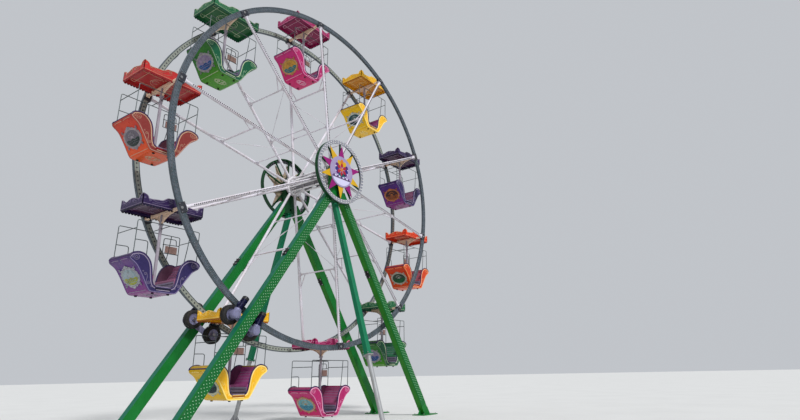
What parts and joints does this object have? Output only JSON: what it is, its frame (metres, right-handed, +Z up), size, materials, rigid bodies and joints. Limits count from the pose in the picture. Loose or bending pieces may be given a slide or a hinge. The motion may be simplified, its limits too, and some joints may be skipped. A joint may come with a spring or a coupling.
{
  "type": "ferris wheel",
  "caption": "Fairground ferris wheel: two rims on A-frame towers carry level gondolas with canopies, turned by rubber tyres against the rims.",
  "frame": {"origin": "on the ground under the middle of the hub", "axes": "+Z up, +Y along the wheel axle from the near tower to the far tower, +X to the right seen from the near side"},
  "size_m": [16.0256, 8.6424, 17.0901],
  "materials": {
    "rim_steel": "satin grey paint, weathered",
    "spoke_white": "satin white paint",
    "hub_grey": "satin light grey paint",
    "tower_green": "gloss green paint",
    "head_green": "gloss dark green paint",
    "brace_green": "gloss green paint",
    "star_paint": "gloss paint in grey, green, magenta and yellow",
    "axle_steel": "dull steel",
    "drive_grey": "satin machine grey",
    "tyre_rubber": "matt black rubber",
    "hanger_white": "satin white paint",
    "gondola_green": "gloss moulded glass fibre",
    "gondola_magenta": "gloss moulded glass fibre",
    "gondola_yellow": "gloss moulded glass fibre",
    "gondola_purple": "gloss moulded glass fibre",
    "gondola_orange": "gloss moulded glass fibre",
    "gondola_red": "gloss moulded glass fibre"
  },
  "bodies": {
    "stand": {"axle": "axle_steel", "head_near": "head_green", "leg_near_left": "tower_green", "leg_near_right": "tower_green", "brace_near": "brace_green", "star_near": "star_paint", "drive_near": "drive_grey", "head_far": "head_green", "leg_far_left": "tower_green", "leg_far_right": "tower_green", "brace_far": "brace_green", "star_far": "star_paint", "drive_far": "drive_grey"},
    "wheel": {"hub": "hub_grey", "rim_near": "rim_steel", "rim_far": "rim_steel", "spoke_pair_1": "spoke_white", "spoke_pair_2": "spoke_white", "spoke_pair_3": "spoke_white", "spoke_pair_4": "spoke_white", "spoke_pair_5": "spoke_white", "spoke_pair_6": "spoke_white", "spoke_pair_7": "spoke_white", "spoke_pair_8": "spoke_white", "spoke_pair_9": "spoke_white", "spoke_pair_10": "spoke_white"},
    "drive_tyre_near_1": {"tyre_near_1": "tyre_rubber"},
    "drive_tyre_near_2": {"tyre_near_2": "tyre_rubber"},
    "drive_tyre_far_1": {"tyre_far_1": "tyre_rubber"},
    "drive_tyre_far_2": {"tyre_far_2": "tyre_rubber"},
    "gondola_1": {"gondola_1_hanger": "hanger_white", "gondola_1_canopy": "gondola_green", "gondola_1_tub": "gondola_green"},
    "gondola_2": {"gondola_2_hanger": "hanger_white", "gondola_2_canopy": "gondola_magenta", "gondola_2_tub": "gondola_magenta"},
    "gondola_3": {"gondola_3_hanger": "hanger_white", "gondola_3_canopy": "gondola_yellow", "gondola_3_tub": "gondola_yellow"},
    "gondola_4": {"gondola_4_hanger": "hanger_white", "gondola_4_canopy": "gondola_purple", "gondola_4_tub": "gondola_purple"},
    "gondola_5": {"gondola_5_hanger": "hanger_white", "gondola_5_canopy": "gondola_orange", "gondola_5_tub": "gondola_orange"},
    "gondola_6": {"gondola_6_hanger": "hanger_white", "gondola_6_canopy": "gondola_green", "gondola_6_tub": "gondola_green"},
    "gondola_7": {"gondola_7_hanger": "hanger_white", "gondola_7_canopy": "gondola_magenta", "gondola_7_tub": "gondola_magenta"},
    "gondola_8": {"gondola_8_hanger": "hanger_white", "gondola_8_canopy": "gondola_yellow", "gondola_8_tub": "gondola_yellow"},
    "gondola_9": {"gondola_9_hanger": "hanger_white", "gondola_9_canopy": "gondola_purple", "gondola_9_tub": "gondola_purple"},
    "gondola_10": {"gondola_10_hanger": "hanger_white", "gondola_10_canopy": "gondola_red", "gondola_10_tub": "gondola_red"}
  },
  "joints": [
    {"name": "wheel_spin", "type": "hinge", "parent": "stand", "child": "wheel", "pos_m": [0, 0, 9.8], "axis": [0, 1, 0], "continuous": true},
    {"name": "tyre_near_1_spin", "type": "hinge", "parent": "stand", "child": "drive_tyre_near_1", "pos_m": [-3.44044, -1.02, 3.21905], "axis": [0, 1, 0], "continuous": true},
    {"name": "tyre_near_2_spin", "type": "hinge", "parent": "stand", "child": "drive_tyre_near_2", "pos_m": [-4.23812, -1.02, 3.70215], "axis": [0, 1, 0], "continuous": true},
    {"name": "tyre_far_1_spin", "type": "hinge", "parent": "stand", "child": "drive_tyre_far_1", "pos_m": [-3.44044, 1.02, 3.21905], "axis": [0, 1, 0], "continuous": true},
    {"name": "tyre_far_2_spin", "type": "hinge", "parent": "stand", "child": "drive_tyre_far_2", "pos_m": [-4.23812, 1.02, 3.70215], "axis": [0, 1, 0], "continuous": true},
    {"name": "gondola_1_swing", "type": "hinge", "parent": "wheel", "child": "gondola_1", "pos_m": [-4.81848, 0, 14.87762], "axis": [0, 1, 0], "continuous": true},
    {"name": "gondola_2_swing", "type": "hinge", "parent": "wheel", "child": "gondola_2", "pos_m": [-0.91368, 0, 16.74011], "axis": [0, 1, 0], "continuous": true},
    {"name": "gondola_3_swing", "type": "hinge", "parent": "wheel", "child": "gondola_3", "pos_m": [3.34011, 0, 15.95172], "axis": [0, 1, 0], "continuous": true},
    {"name": "gondola_4_swing", "type": "hinge", "parent": "wheel", "child": "gondola_4", "pos_m": [6.3181, 0, 12.81358], "axis": [0, 1, 0], "continuous": true},
    {"name": "gondola_5_swing", "type": "hinge", "parent": "wheel", "child": "gondola_5", "pos_m": [6.88278, 0, 8.52435], "axis": [0, 1, 0], "continuous": true},
    {"name": "gondola_6_swing", "type": "hinge", "parent": "wheel", "child": "gondola_6", "pos_m": [4.81848, 0, 4.72238], "axis": [0, 1, 0], "continuous": true},
    {"name": "gondola_7_swing", "type": "hinge", "parent": "wheel", "child": "gondola_7", "pos_m": [0.91368, 0, 2.85989], "axis": [0, 1, 0], "continuous": true},
    {"name": "gondola_8_swing", "type": "hinge", "parent": "wheel", "child": "gondola_8", "pos_m": [-3.34011, 0, 3.64828], "axis": [0, 1, 0], "continuous": true},
    {"name": "gondola_9_swing", "type": "hinge", "parent": "wheel", "child": "gondola_9", "pos_m": [-6.3181, 0, 6.78642], "axis": [0, 1, 0], "continuous": true},
    {"name": "gondola_10_swing", "type": "hinge", "parent": "wheel", "child": "gondola_10", "pos_m": [-6.88278, 0, 11.07565], "axis": [0, 1, 0], "continuous": true}
  ],
  "couplings": [
    {"joint": "tyre_near_1_spin", "follows": "wheel_spin", "ratio": -22.188},
    {"joint": "tyre_near_2_spin", "follows": "wheel_spin", "ratio": -22.188},
    {"joint": "tyre_far_1_spin", "follows": "wheel_spin", "ratio": -22.188},
    {"joint": "tyre_far_2_spin", "follows": "wheel_spin", "ratio": -22.188},
    {"joint": "gondola_1_swing", "follows": "wheel_spin", "ratio": -1},
    {"joint": "gondola_2_swing", "follows": "wheel_spin", "ratio": -1},
    {"joint": "gondola_3_swing", "follows": "wheel_spin", "ratio": -1},
    {"joint": "gondola_4_swing", "follows": "wheel_spin", "ratio": -1},
    {"joint": "gondola_5_swing", "follows": "wheel_spin", "ratio": -1},
    {"joint": "gondola_6_swing", "follows": "wheel_spin", "ratio": -1},
    {"joint": "gondola_7_swing", "follows": "wheel_spin", "ratio": -1},
    {"joint": "gondola_8_swing", "follows": "wheel_spin", "ratio": -1},
    {"joint": "gondola_9_swing", "follows": "wheel_spin", "ratio": -1},
    {"joint": "gondola_10_swing", "follows": "wheel_spin", "ratio": -1}
  ]
}
